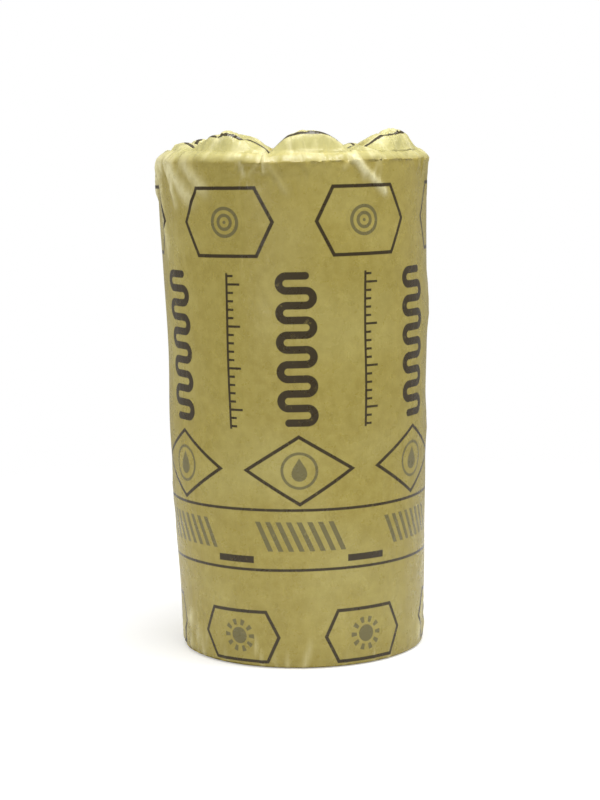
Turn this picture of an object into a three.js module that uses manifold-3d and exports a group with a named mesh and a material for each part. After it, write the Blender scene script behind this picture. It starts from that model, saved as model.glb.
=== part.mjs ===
// A glass-wool insulation roll, standing on end in its printed shrink-film sleeve.
//
// A long mat of glass wool is wound up tight and held by a sleeve of thin polyethylene film. The sleeve
// is longer than the roll. Heat shrinks its two open ends in over the ends of the wool, where the
// spare film gathers into puffed lobes between tight tucks and leaves a round mouth, so that the turns
// of the mat show. At the foot the same gathers are pressed flat by the weight.
//
// Units are millimetres, +Z is up, the origin is the centre of the foot, and the front faces -Y.
// Angles round the roll start at the front and grow towards +X.
import * as THREE from "three";
import { mergeVertices } from "three/addons/utils/BufferGeometryUtils.js";
import Module from "manifold-3d";

// ---- Driving dimensions ----

// The rolled mat.
const matWidth = 1220; // the width the mat is cut to
const endSwell = 8; // the squeezed wool swells out by this much at each end
const eyeRadius = 20; // the hole that the winding spindle leaves
const turnPitch = 34; // one turn of the mat, squeezed to a third of its loose thickness
const grooveDepth = 8; // how far the rounded cut edges of two turns part at an end
const grooveWidth = 11;
const crownHeight = 14; // the wool swells out through the mouth in the top end

// The outline of the packed roll, measured over the film.
const footRadius = 306;
const topRadius = 333;
const bellySwell = 4.5; // how far the wall stands out past a straight cone, half way up
const footRimRadius = 14; // the rounded corner at the foot
const topRimRadius = 11; // the tighter corner at the top

// The film sleeve.
const filmThickness = 0.5;
const filmClearance = 0.3; // between the film and the wool
const mouthRadius = 196; // the round mouth that the shrunk film leaves in each end
const mouthScallop = 12; // how far a lobe's free edge reaches in past the mouth's mean radius
const edgeLift = 0.1; // a lobe's free edge stands up by this share of the lobe's height
const crestPlace = 0.95; // below 1 the crest of a lobe moves from the middle towards the rim
const shelf = 1.4; // above 1 a lobe starts with a gentler slope inside the rim

// The lobes of gathered film on the top end. Each starts at a tuck, in degrees round the roll, and ends
// at the next one. Its height is how far its crest stands above the rim.
const lobes = [
  { tuck: -92, height: 24 },
  { tuck: -60, height: 53 },
  { tuck: -12, height: 54 },
  { tuck: 28, height: 12 },
  { tuck: 40, height: 55 },
  { tuck: 88, height: 34 },
  { tuck: 104, height: 50 },
  { tuck: 140, height: 14 },
  { tuck: 152, height: 52 },
  { tuck: 192, height: 50 },
  { tuck: 228, height: 36 },
  { tuck: 252, height: 20 },
];

// Facets.
const roundSegments = 90; // round the roll: every tuck falls on one of these steps
const rimSegments = 3;
const wallSegments = 3;
const lobeSegments = 7; // from the rim to the mouth
const crownSegments = 4;
const grooveStepsPerTurn = 20;

// ---- Sizes that follow from them ----

const woolInset = filmThickness + filmClearance; // from the outside of the film to the wool
const rollHeight = matWidth + 2 * endSwell + 2 * woolInset; // over the film, without the lobes
const crownRadius = mouthRadius - mouthScallop - filmClearance; // the wool is free to swell inside this

// ---- The section that the film and the wool share ----

// The outside radius of the film at a height.
function wallRadius(height) {
  const share = height / rollHeight;
  const cone = footRadius + (topRadius - footRadius) * share;
  return cone + bellySwell * 4 * share * (1 - share);
}

// A rounded corner of the section, as points from one angle to another.
function corner(centreRadius, centreHeight, radius, fromAngle, toAngle) {
  const points = [];
  for (let i = 0; i <= rimSegments; i++) {
    const angle = THREE.MathUtils.lerp(fromAngle, toAngle, i / rimSegments);
    points.push(
      new THREE.Vector2(centreRadius + radius * Math.cos(angle), centreHeight + radius * Math.sin(angle)),
    );
  }
  return points;
}

// The rim and wall of the roll from the foot's flat to the top's flat, at a depth under the film's outside.
function wallSection(inset) {
  const footCentre = wallRadius(footRimRadius) - footRimRadius;
  const topCentre = wallRadius(rollHeight - topRimRadius) - topRimRadius;
  const points = corner(footCentre, footRimRadius, footRimRadius - inset, -Math.PI / 2, 0);
  for (let i = 1; i < wallSegments; i++) {
    const height = THREE.MathUtils.lerp(footRimRadius, rollHeight - topRimRadius, i / wallSegments);
    points.push(new THREE.Vector2(wallRadius(height) - inset, height));
  }
  points.push(...corner(topCentre, rollHeight - topRimRadius, topRimRadius - inset, 0, Math.PI / 2));
  return points;
}

// Turns a closed section, listed anticlockwise with the radius to the right, about the roll's axis.
function turned(section) {
  const geometry = new THREE.LatheGeometry([...section, section[0].clone()], roundSegments);
  return geometry.rotateX(Math.PI / 2);
}

// ---- The gathered top of the sleeve ----

// The lobe at an angle, and how far across it the angle lies, from -1 at one tuck to 1 at the next.
function lobeAt(degrees) {
  const round = THREE.MathUtils.euclideanModulo(degrees - lobes[0].tuck, 360) + lobes[0].tuck;
  let index = lobes.length - 1;
  while (round < lobes[index].tuck) index -= 1;
  const start = lobes[index].tuck;
  const end = index + 1 < lobes.length ? lobes[index + 1].tuck : lobes[0].tuck + 360;
  return { height: lobes[index].height, across: (2 * (round - start)) / (end - start) - 1 };
}

// A lobe is puffed: it leaves its tucks steeply and is broad on top.
function puff(across) {
  return Math.sqrt(Math.max(0, 1 - across * across));
}

// The rise of a lobe on its way from the rim (0) to the free edge at the mouth (1).
function rise(inward) {
  const arch = Math.max(0, Math.sin(Math.PI * inward ** crestPlace));
  return arch ** shelf + edgeLift * inward * inward;
}

// Lifts the flat top ring of the sleeve into lobes and draws its free edge into scallops.
function gatherTop(geometry) {
  const ringStart = wallRadius(rollHeight - topRimRadius) - topRimRadius;
  const position = geometry.getAttribute("position");
  const point = new THREE.Vector3();
  for (let i = 0; i < position.count; i++) {
    point.fromBufferAttribute(position, i);
    const radius = Math.hypot(point.x, point.y);
    const isTopRing = point.z > rollHeight - woolInset && radius < ringStart;
    if (!isTopRing) continue;
    const angle = Math.atan2(point.x, -point.y);
    const { height, across } = lobeAt(THREE.MathUtils.radToDeg(angle));
    const inward = (ringStart - radius) / (ringStart - mouthRadius);
    const drawn = radius - mouthScallop * inward * inward * (2 * puff(across) - 1);
    position.setXYZ(
      i,
      drawn * Math.sin(angle),
      -drawn * Math.cos(angle),
      point.z + height * puff(across) * rise(inward),
    );
  }
  return geometry;
}

function filmSleeveGeometry() {
  const outside = [new THREE.Vector2(mouthRadius, 0), ...wallSection(0)];
  const inside = [new THREE.Vector2(mouthRadius, filmThickness), ...wallSection(filmThickness)];
  const ringStart = outside[outside.length - 1].x;
  for (let i = 1; i <= lobeSegments; i++) {
    const radius = THREE.MathUtils.lerp(ringStart, mouthRadius, i / lobeSegments);
    outside.push(new THREE.Vector2(radius, rollHeight));
    inside.push(new THREE.Vector2(radius, rollHeight - filmThickness));
  }
  return gatherTop(turned([...outside, ...inside.reverse()]));
}

// ---- The rolled mat ----

// The height of the wool's top end at a radius: flat under the film, and swollen inside the mouth.
function topEndHeight(radius) {
  const share = Math.min(1, radius / crownRadius);
  return rollHeight - woolInset + crownHeight * (1 - share ** 3);
}

function woolSection() {
  const foot = [new THREE.Vector2(eyeRadius, woolInset)];
  const crown = [];
  for (let i = 0; i <= crownSegments; i++) {
    const radius = THREE.MathUtils.lerp(crownRadius, eyeRadius, i / crownSegments);
    crown.push(new THREE.Vector2(radius, topEndHeight(radius)));
  }
  return [...foot, ...wallSection(woolInset), ...crown];
}

// The line between two turns of the mat on an end of the roll, from inside the eye to under the film.
class TurnLine extends THREE.Curve {
  constructor(heightAt) {
    super();
    this.heightAt = heightAt;
    this.startRadius = eyeRadius - grooveWidth;
    this.turns = (mouthRadius + turnPitch / 2 - this.startRadius) / turnPitch;
  }

  getPoint(share, target = new THREE.Vector3()) {
    const angle = 2 * Math.PI * this.turns * share;
    const radius = this.startRadius + turnPitch * this.turns * share;
    return target.set(radius * Math.sin(angle), -radius * Math.cos(angle), this.heightAt(radius));
  }
}

// A V cutter swept along the line between the turns. It points into the wool: down at the top end (1)
// and up at the foot (-1). It stands out of the end by as much as it is deep.
function turnGroove(heightAt, intoWool) {
  const section = new THREE.Shape([
    new THREE.Vector2(intoWool * grooveDepth, 0),
    new THREE.Vector2(-intoWool * grooveDepth, grooveWidth),
    new THREE.Vector2(-intoWool * grooveDepth, -grooveWidth),
  ]);
  const line = new TurnLine(heightAt);
  const steps = Math.round(line.turns * grooveStepsPerTurn);
  return new THREE.ExtrudeGeometry(section, { steps, bevelEnabled: false, extrudePath: line });
}

// ---- Booleans ----

const wasm = await Module();
wasm.setup();

// A closed three.js geometry as a solid that can be cut.
function toSolid(geometry) {
  const bare = geometry.clone();
  bare.deleteAttribute("normal");
  bare.deleteAttribute("uv");
  const merged = mergeVertices(bare, 1e-3);
  return new wasm.Manifold(
    new wasm.Mesh({
      numProp: 3,
      vertProperties: merged.getAttribute("position").array,
      triVerts: new Uint32Array(merged.index.array),
    }),
  );
}

function toGeometry(solid) {
  const mesh = solid.getMesh();
  const geometry = new THREE.BufferGeometry();
  geometry.setAttribute("position", new THREE.BufferAttribute(mesh.vertProperties, 3));
  geometry.setIndex(new THREE.BufferAttribute(mesh.triVerts, 1));
  geometry.computeVertexNormals();
  return geometry;
}

function woolRollGeometry() {
  const topGroove = toSolid(turnGroove(topEndHeight, 1));
  const footGroove = toSolid(turnGroove(() => woolInset, -1));
  return toGeometry(toSolid(turned(woolSection())).subtract(topGroove).subtract(footGroove));
}

// ---- The parts ----

function namedMesh(name, geometry, finish) {
  const mesh = new THREE.Mesh(geometry, new THREE.MeshStandardMaterial(finish));
  mesh.name = name;
  return mesh;
}

const roll = new THREE.Group();
roll.name = "insulation_roll";
roll.add(namedMesh("wool_roll", woolRollGeometry(), { color: 0xd9c64f, roughness: 0.95, metalness: 0 }));
roll.add(
  namedMesh("film_sleeve", filmSleeveGeometry(), { color: 0xb9aa55, roughness: 0.35, metalness: 0 }),
);

export default roll;
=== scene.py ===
import math

import bpy
import numpy as np
from mathutils import Matrix, Vector


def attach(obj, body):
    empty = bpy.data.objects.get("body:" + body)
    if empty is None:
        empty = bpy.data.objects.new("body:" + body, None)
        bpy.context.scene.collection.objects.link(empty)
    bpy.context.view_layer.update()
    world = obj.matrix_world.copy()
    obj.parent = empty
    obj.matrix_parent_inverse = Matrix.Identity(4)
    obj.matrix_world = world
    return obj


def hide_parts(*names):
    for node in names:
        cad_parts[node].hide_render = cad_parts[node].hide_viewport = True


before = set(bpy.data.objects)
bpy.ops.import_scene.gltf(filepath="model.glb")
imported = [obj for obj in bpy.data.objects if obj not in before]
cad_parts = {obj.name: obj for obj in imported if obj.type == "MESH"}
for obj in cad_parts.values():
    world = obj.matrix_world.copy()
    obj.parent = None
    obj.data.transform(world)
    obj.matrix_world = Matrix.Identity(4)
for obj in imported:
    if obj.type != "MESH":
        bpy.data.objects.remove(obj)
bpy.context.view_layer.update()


# ---- The rolled mat ----
# One long mat of yellow glass wool, wound from its inner end and squeezed to a third of its loose
# thickness. Its two cut edges show at the ends of the roll, as turns of fluffy layers with loose fibres.

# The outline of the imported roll, over the film.
FOOT_RADIUS = 0.306
TOP_RADIUS = 0.333
BELLY_SWELL = 0.0045
ROLL_HEIGHT = 1.2376
MOUTH_RADIUS = 0.196  # the round mouth in the film at each end

EYE_RADIUS = 0.016
TURN_PITCH = 0.034
TURN_GAP = 0.0012
WOOL_INSET = 0.006  # from the outside of the film to the wool
TOP_CORNER = 0.036  # the wool is rounded under the film's top rim
FOOT_DRAW = 0.005  # the lower cut edge is drawn in from the floor
FILM_LIFT = 0.0008  # the film under the roll keeps the wool this far off the floor
FLAT_FOOT = 0.0035  # and the weight of the roll flattens what the film covers at this height
TOP_GAP = 0.001  # between the mat and the film over its top end, and again to its flattened rim
CROWN_RADIUS = 0.184
CROWN_HEIGHT = 0.012  # the wool swells out through the mouth on top
CROWN_BLUNTNESS = 3.0
EDGE_ROUNDING = 0.008  # the cut edge of the mat is rounded over by this much
EDGE_BLUNTNESS = 5.0
ALONG_STEPS = 1500  # quads along the mat, most of them where its edge shows in the mouths
SHOWN_STEPS = 1300
SHOWN_TURNS = 5.5
SHORTER_INSIDE = 0.62  # below 1, the quads of the small inner turns cover more of a turn
THIN_START = 0.012  # the share of the mat over which its inner end gets its full thickness
SETTLED = (0.02, 0.30)  # the turns are uneven at the first radius, and even at the second
SAME_POINT = 0.00002  # points of the mat this close become one
AROUND_STEPS = 29  # quads round its section
EDGE_STEPS = 0.4  # the share of them on each cut edge
LEVEL_ENOUGH = 0.35  # loose fibres lie where the wool faces up or down by this much
FIBRE_THICKNESS = 0.011  # the radius of a fibre, as a share of its length
FIBRE_TILT = 0.3
FIBRES_END = 0.006  # they stay this far inside the mouth's radius
FIBRE_BENDS = [(-0.5, 0, 0), (-0.2, 0.28, 0.10), (0.2, -0.22, 0.16), (0.5, 0.05, 0)]
WOOL_YELLOW = (0.72, 0.56, 0.08, 1)
# WOOL_SHADE is the wool's darker tone, and also the painted shade in the grooves between its turns.
WOOL_SHADE = (0.46, 0.34, 0.05, 1)
WOOL_PALE = (0.83, 0.70, 0.20, 1)
FIBRE_PALE = (0.84, 0.72, 0.25, 1)


def add_node(tree, kind, *values, **settings):
    """Adds a node. The values go to its inputs in order: a socket is linked, a number is set, and None
    leaves the input as it is."""
    made = tree.nodes.new(kind)
    for name, value in settings.items():
        setattr(made, name, value)
    for socket, value in zip([s for s in made.inputs if s.enabled], values):
        if isinstance(value, bpy.types.NodeSocket):
            tree.links.new(value, socket)
        elif value is not None:
            socket.default_value = value
    return made


def calc(tree, operation, *values):
    return add_node(tree, "ShaderNodeMath", *values, operation=operation).outputs[0]


def less(tree, value, amount):
    return calc(tree, "SUBTRACT", value, amount)


def product(tree, *values):
    total = values[0]
    for value in values[1:]:
        total = calc(tree, "MULTIPLY", total, value)
    return total


def maximum(tree, *values):
    highest = values[0]
    for value in values[1:]:
        highest = calc(tree, "MAXIMUM", highest, value)
    return highest


def ramp(tree, value, low, high, to_low=0.0, to_high=1.0, smooth=False):
    """Spreads the value's place between low and high over to_low to to_high, and holds it inside them."""
    steps = "SMOOTHSTEP" if smooth else "LINEAR"
    made = add_node(tree, "ShaderNodeMapRange", value, low, high, to_low, to_high, interpolation_type=steps)
    return made.outputs[0]


def vector(tree, x, y, z):
    return add_node(tree, "ShaderNodeCombineXYZ", x, y, z).outputs[0]


def parts_of(tree, place):
    return add_node(tree, "ShaderNodeSeparateXYZ", place).outputs


def point_position(tree):
    """The x, y and z of each point in a geometry tree."""
    return parts_of(tree, add_node(tree, "GeometryNodeInputPosition").outputs[0])


def speckle(tree, place, scale, detail=4.0, roughness=0.6):
    return add_node(tree, "ShaderNodeTexNoise", place, scale, detail, roughness).outputs[0]


def mottling_group():
    """Soft patches of any size, as the clumps in wool and what shows of them through film. Puts out their
    pattern, and a mask that goes from one number to another over a range of it."""
    tree = bpy.data.node_groups.new("mottling", "ShaderNodeTree")
    tree.interface.new_socket(name="Place", in_out="INPUT", socket_type="NodeSocketVector")
    for label in ("Scale", "Detail", "Roughness", "Low", "High", "To low", "To high"):
        tree.interface.new_socket(name=label, in_out="INPUT", socket_type="NodeSocketFloat")
    for label in ("Pattern", "Mask"):
        tree.interface.new_socket(name=label, in_out="OUTPUT", socket_type="NodeSocketFloat")
    given = tree.nodes.new("NodeGroupInput").outputs
    pattern = speckle(tree, given["Place"], given["Scale"], given["Detail"], given["Roughness"])
    mask = ramp(tree, pattern, given["Low"], given["High"], given["To low"], given["To high"])
    add_node(tree, "NodeGroupOutput", pattern, mask)
    return tree


MOTTLING = mottling_group()


def mottled(tree, place, scale, detail, roughness, low, high, to_low=0.0, to_high=1.0):
    """Places the mottling in a material with values of its own. Gives its pattern and its mask."""
    values = (place, scale, detail, roughness, low, high, to_low, to_high)
    return add_node(tree, "ShaderNodeGroup", *values, node_tree=MOTTLING).outputs


def enabled_output(node):
    return [socket for socket in node.outputs if socket.enabled][0]


def layered(tree, colour, layers):
    """Lays colours over the first one. Each layer has its share, as a mask or a number, and its colour."""
    for share, over in layers:
        colour = enabled_output(add_node(tree, "ShaderNodeMix", share, colour, over, data_type="RGBA"))
    return colour


def radius_of(tree, x, y):
    return calc(tree, "SQRT", calc(tree, "MULTIPLY_ADD", x, x, product(tree, y, y)))


def attribute(tree, name):
    return add_node(tree, "ShaderNodeAttribute", attribute_name=name).outputs["Fac"]


def object_place(tree):
    return add_node(tree, "ShaderNodeTexCoord").outputs["Object"]


def new_material(name, fixed):
    """A material with these fixed values on its shader. Gives it, its tree and its shader's inputs."""
    material = bpy.data.materials.new(name)
    material.use_nodes = True
    shader = material.node_tree.nodes["Principled BSDF"]
    for label, value in fixed.items():
        shader.inputs[label].default_value = value
    return material, material.node_tree, shader.inputs


def bump(tree, relief, strength, depth):
    made = add_node(tree, "ShaderNodeBump")
    made.inputs["Strength"].default_value = strength
    made.inputs["Distance"].default_value = depth
    tree.links.new(relief, made.inputs["Height"])
    return made.outputs[0]


def wool_material():
    fixed = {"Roughness": 0.95, "Specular IOR Level": 0.2, "Sheen Weight": 0.15}
    material, tree, shader = new_material("glass_wool", fixed)
    place = object_place(tree)
    x, y, z = parts_of(tree, place)
    radius = radius_of(tree, x, y)
    # The fibres lie in layers along the mat, so the streaks run round the roll.
    east = calc(tree, "DIVIDE", x, radius)
    north = calc(tree, "DIVIDE", y, radius)
    turns = vector(tree, east, north, product(tree, calc(tree, "ADD", radius, z), 90.0))
    streaks, streaked = mottled(tree, turns, 6.0, 6.0, 0.75, 0.40, 0.58)
    _, clumped = mottled(tree, place, 60.0, 5.0, 0.65, 0.5, 0.75, 0.0, 0.6)
    fuzz, fuzzy = mottled(tree, place, 650.0, 4.0, 0.75, 0.45, 0.75, 0.0, 0.55)
    # Painted shade: the wool turns darker towards the inner and outer faces of each turn, in the grooves
    # between the turns.
    groove_shade = calc(tree, "POWER", calc(tree, "ABSOLUTE", attribute(tree, "across")), 8.0)
    layers = [
        (streaked, WOOL_YELLOW),
        (clumped, WOOL_PALE),
        (fuzzy, WOOL_PALE),
        (product(tree, groove_shade, 0.8), WOOL_SHADE),
        (attribute(tree, "fibre"), FIBRE_PALE),
    ]
    tree.links.new(layered(tree, WOOL_SHADE, layers), shader["Base Color"])
    relief = calc(tree, "MULTIPLY_ADD", fuzz, 0.5, product(tree, streaks, 1.5))
    tree.links.new(bump(tree, relief, 0.9, 0.004), shader["Normal"])
    return material


def tree_with_inputs(name, values):
    """A geometry tree with the named number inputs, and the sockets that they come out of."""
    tree = bpy.data.node_groups.new(name, "GeometryNodeTree")
    tree.interface.new_socket(name="Piece", in_out="OUTPUT", socket_type="NodeSocketGeometry")
    for label, value in values.items():
        kind = "NodeSocketInt" if isinstance(value, int) else "NodeSocketFloat"
        tree.interface.new_socket(name=label, in_out="INPUT", socket_type=kind).default_value = value
    return tree, tree.nodes.new("NodeGroupInput").outputs


def new_object(name, data):
    made = bpy.data.objects.new(name, data)
    bpy.context.scene.collection.objects.link(made)
    return made


def plain_mesh_from(name, tree, values):
    """Runs a geometry tree with values for its named inputs, and keeps the result as a plain mesh."""
    carrier = new_object(name + "_carrier", bpy.data.meshes.new(name + "_carrier"))
    modifier = carrier.modifiers.new(name, "NODES")
    modifier.node_group = tree
    for socket in tree.interface.items_tree:
        if socket.in_out == "INPUT":
            modifier[socket.identifier] = values[socket.name]
    evaluated = carrier.evaluated_get(bpy.context.evaluated_depsgraph_get())
    kept = bpy.data.meshes.new_from_object(evaluated)
    carrier.modifiers.remove(modifier)
    bpy.data.objects.remove(carrier)
    return new_object(name, kept)


def wall_radius_nodes(tree, height):
    share = calc(tree, "DIVIDE", height, ROLL_HEIGHT)
    cone = calc(tree, "MULTIPLY_ADD", share, TOP_RADIUS - FOOT_RADIUS, FOOT_RADIUS)
    rest = less(tree, 1.0, share)
    return calc(tree, "MULTIPLY_ADD", product(tree, share, rest), 4 * BELLY_SWELL, cone)


def on_the_round(tree, east, south, radius, height):
    return vector(tree, product(tree, east, radius), product(tree, south, radius), height)


def mat_section(tree, around):
    """The section of the mat, a slab, at a share of the way round it. Across the mat, -1 is its inner face
    and 1 its outer face. Up it, -1 is the foot and 1 the top."""
    top_edge = ramp(tree, around, 0.0, EDGE_STEPS, -1.0, 1.0)
    foot_edge = ramp(tree, around, 0.5, 0.5 + EDGE_STEPS, 0.0, 2.0)
    down = ramp(tree, around, EDGE_STEPS, 0.5, 1.0, -1.0)
    up = calc(tree, "ADD", down, ramp(tree, around, 0.5 + EDGE_STEPS, 1.0, 0.0, 2.0))
    return less(tree, top_edge, foot_edge), up


def wound_up(tree, given, along, across):
    """The bearing, as east and south, and the radius of a point of the mat, wound up by hand: the turns are
    thicker here and thinner there."""
    shown = calc(tree, "POWER", ramp(tree, along, 0.0, SHOWN_STEPS / ALONG_STEPS), SHORTER_INSIDE)
    hidden = ramp(tree, along, SHOWN_STEPS / ALONG_STEPS, 1.0)
    hidden_turns = product(tree, hidden, less(tree, given["Turns"], SHOWN_TURNS))
    turns = calc(tree, "MULTIPLY_ADD", shown, SHOWN_TURNS, hidden_turns)
    angle = product(tree, turns, 2 * math.pi)
    started = ramp(tree, along, 0.0, THIN_START, smooth=True)
    half_fill = product(tree, less(tree, given["Turn pitch"], given["Turn gap"]), 0.5)
    reach = product(tree, across, half_fill, started)
    to_middle = calc(tree, "ADD", turns, 0.5)
    middle = calc(tree, "MULTIPLY_ADD", to_middle, given["Turn pitch"], given["Eye radius"])
    radius = calc(tree, "ADD", middle, reach)
    east = calc(tree, "SINE", angle)
    south = product(tree, calc(tree, "COSINE", angle), -1.0)
    bearing = vector(tree, east, south, product(tree, radius, 9.0))
    uneven = less(tree, speckle(tree, bearing, 1.1, 1.0), 0.5)
    settled = ramp(tree, radius, *SETTLED, 1.2, 0.0)
    sway = product(tree, uneven, given["Unevenness"], settled)
    return east, south, calc(tree, "ADD", radius, sway)


def loose_height(tree, given, across, up, east, south, radius):
    """The height of a point of the mat. Its cut edges are rounded and fluffy, and swell up in the mouth."""
    rounded = calc(tree, "POWER", calc(tree, "ABSOLUTE", across), EDGE_BLUNTNESS)
    half = calc(tree, "MULTIPLY_ADD", rounded, -EDGE_ROUNDING, (MAT_TOP - MAT_FOOT) / 2)
    height = calc(tree, "MULTIPLY_ADD", up, half, (MAT_TOP + MAT_FOOT) / 2)
    on_top = ramp(tree, up, 0.0, 1.0)
    share = calc(tree, "MINIMUM", calc(tree, "DIVIDE", radius, CROWN_RADIUS), 1.0)
    lower = calc(tree, "POWER", share, CROWN_BLUNTNESS)
    crown = calc(tree, "MULTIPLY_ADD", lower, -CROWN_HEIGHT, CROWN_HEIGHT)
    height = calc(tree, "MULTIPLY_ADD", on_top, crown, height)
    place = on_the_round(tree, east, south, radius, height)
    fluff = less(tree, speckle(tree, place, 42.0, 5.0, 0.7), 0.5)
    swell = less(tree, speckle(tree, place, 7.0, 1.0), 0.5)
    lift = calc(tree, "MULTIPLY_ADD", fluff, given["Fluff"], product(tree, swell, given["Swell"]))
    return calc(tree, "MULTIPLY_ADD", up, lift, height)


def packed(tree, radius, height):
    """Presses the mat in behind the film: round at the top's corner, and flat where the film covers it."""
    limit = less(tree, wall_radius_nodes(tree, height), WOOL_INSET)
    in_corner = ramp(tree, height, MAT_TOP - TOP_CORNER, MAT_TOP, 0.0, 1.0)
    squared = product(tree, in_corner, in_corner)
    round_corner = calc(tree, "SQRT", less(tree, 1.0, squared))
    limit = calc(tree, "MULTIPLY_ADD", less(tree, round_corner, 1.0), TOP_CORNER, limit)
    radius = calc(tree, "MINIMUM", radius, limit)
    covered = calc(tree, "GREATER_THAN", radius, CROWN_RADIUS)
    flat = maximum(tree, calc(tree, "MINIMUM", height, MAT_TOP - TOP_GAP), FLAT_FOOT)
    height = add_node(tree, "ShaderNodeMix", covered, height, flat, data_type="FLOAT").outputs[0]
    return radius, height


def wound_mat(tree, given):
    """The mat as one long strip. A flat grid is wound up: its first side runs along the mat, its second
    round the mat's section."""
    grid = add_node(tree, "GeometryNodeMeshGrid", 1.0, 1.0, ALONG_STEPS + 1, AROUND_STEPS + 1)
    flat_x, flat_y, _ = point_position(tree)
    across, up = mat_section(tree, calc(tree, "ADD", flat_y, 0.5))
    east, south, radius = wound_up(tree, given, calc(tree, "ADD", flat_x, 0.5), across)
    height = loose_height(tree, given, across, up, east, south, radius)
    place = on_the_round(tree, east, south, *packed(tree, radius, height))
    kept = add_node(tree, "GeometryNodeStoreNamedAttribute", grid.outputs["Mesh"], None, "across", across)
    wound = add_node(tree, "GeometryNodeSetPosition", kept.outputs[0], None, place)
    closed = add_node(tree, "GeometryNodeMergeByDistance", wound.outputs[0], None, SAME_POINT)
    return closed.outputs[0]


def loose_fibres(tree, given, mat):
    """Short bent fibres that lie on the wool in the mouths of the film."""
    x, y, _ = point_position(tree)
    facing = parts_of(tree, add_node(tree, "GeometryNodeInputNormal").outputs[0])["Z"]
    level = calc(tree, "GREATER_THAN", calc(tree, "ABSOLUTE", facing), LEVEL_ENOUGH)
    open_to_view = calc(tree, "LESS_THAN", radius_of(tree, x, y), MOUTH_RADIUS - FIBRES_END)
    chosen = product(tree, level, open_to_view)
    many, seed = given["Fibres per m2"], given["Seed"]
    spots = add_node(tree, "GeometryNodeDistributePointsOnFaces", mat, chosen, many, seed)
    line = add_node(tree, "GeometryNodeCurvePrimitiveBezierSegment", 5, *FIBRE_BENDS).outputs[0]
    thread = add_node(tree, "GeometryNodeCurvePrimitiveCircle", 3)
    thread.inputs["Radius"].default_value = FIBRE_THICKNESS
    fibre = add_node(tree, "GeometryNodeCurveToMesh", line, thread.outputs[0])
    least, most = (-FIBRE_TILT, -FIBRE_TILT, 0.0), (FIBRE_TILT, FIBRE_TILT, 2 * math.pi)
    turn = add_node(tree, "FunctionNodeRandomValue", least, most, data_type="FLOAT_VECTOR")
    least, most = given["Shortest fibre"], given["Longest fibre"]
    size = add_node(tree, "FunctionNodeRandomValue", least, most, data_type="FLOAT")
    laid = add_node(tree, "GeometryNodeInstanceOnPoints", spots.outputs["Points"])
    tree.links.new(fibre.outputs[0], laid.inputs["Instance"])
    tree.links.new(turn.outputs[0], laid.inputs["Rotation"])
    tree.links.new(enabled_output(size), laid.inputs["Scale"])
    strands = add_node(tree, "GeometryNodeRealizeInstances", laid.outputs[0]).outputs[0]
    return add_node(tree, "GeometryNodeStoreNamedAttribute", strands, None, "fibre", 1.0).outputs[0]


MAT_FOOT = FOOT_DRAW
MAT_TOP = ROLL_HEIGHT - TOP_GAP
WOUND_MAT = {
    "Eye radius": EYE_RADIUS,
    "Turn pitch": TURN_PITCH,
    "Turn gap": TURN_GAP,
    "Turns": (TOP_RADIUS - WOOL_INSET - EYE_RADIUS) / TURN_PITCH,
    "Unevenness": 0.022,
    "Fluff": 0.011,
    "Swell": 0.006,
    "Fibres per m2": 13000.0,
    "Shortest fibre": 0.008,
    "Longest fibre": 0.028,
    "Seed": 4,
}
mat_tree, mat_given = tree_with_inputs("wound_mat", WOUND_MAT)
strip = wound_mat(mat_tree, mat_given)
strands = loose_fibres(mat_tree, mat_given, strip)
both = mat_tree.nodes.new("GeometryNodeJoinGeometry")
mat_tree.links.new(strip, both.inputs[0])
mat_tree.links.new(strands, both.inputs[0])
smooth = add_node(mat_tree, "GeometryNodeSetShadeSmooth", both.outputs[0])
solid = add_node(mat_tree, "GeometryNodeRealizeInstances", smooth.outputs[0])
x, y, z = point_position(mat_tree)
off_floor = vector(mat_tree, x, y, maximum(mat_tree, z, FILM_LIFT))
solid = add_node(mat_tree, "GeometryNodeSetPosition", solid.outputs[0], None, off_floor)
finish = add_node(mat_tree, "GeometryNodeSetMaterial", solid.outputs[0], None, wool_material())
add_node(mat_tree, "NodeGroupOutput", finish.outputs[0])
wool = plain_mesh_from("wound_wool_mat", mat_tree, WOUND_MAT)
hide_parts("wool_roll")
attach(wool, "root")


# ---- The film sleeve ----
# Thin polyethylene film, printed flat, wrapped round the roll and welded up the back. Heat shrinks its two
# ends in over the wool: puffed lobes between tight tucks on top, the same gathers pressed flat at the foot.

FILM_THICKNESS = 0.0005
FILM_CUT = (2.09, 1.52)  # round the roll and along it, before it was shrunk
FOOT_RIM = 0.014  # the film's rounding at the foot
FOOT_LEAN = 0.55  # the share by which it is sharper on the roll's right, and rounder on its left
TOP_RIM = 0.0175  # the film bends in over the top edge from this far under it
TOP_BEVEL = 0.027  # and is level this far in
BEVEL_FLATNESS = 1.6  # 1 is a round bevel, and 2 a flat one
LOBE_SHARPNESS = 1.25  # above 1, lobes are narrower and the tucks between them wider
MOUTH_SCALLOP = 0.012
TOP_RAGGED, FOOT_RAGGED = 0.0012, 0.0045  # how uneven the edges of the two mouths are
EDGE_LIFT = 0.10
CREST_PLACE = 0.72
SHELF = (0.03, 0.15)  # over this share of the way in, a lobe rises from the flat shelf inside the rim
LOOSE_RIM = (0.006, 0.18)  # where the puffed film sweeps over the rim: metres down, and share of the way in
SWEEP_PASSES, SWEEP_SHARE = 6, 0.8
TIGHT_LOBE = 0.045  # lobes lower than this pull the rim tighter
# Each lobe starts at a tuck, in degrees round the roll from the front, and has its height over the rim.
LOBES = [
    (-92, 0.024),
    (-60, 0.053),
    (-12, 0.051),
    (28, 0.012),
    (40, 0.055),
    (88, 0.034),
    (104, 0.035),
    (140, 0.014),
    (152, 0.052),
    (192, 0.042),
    (228, 0.036),
    (252, 0.020),
]
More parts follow.
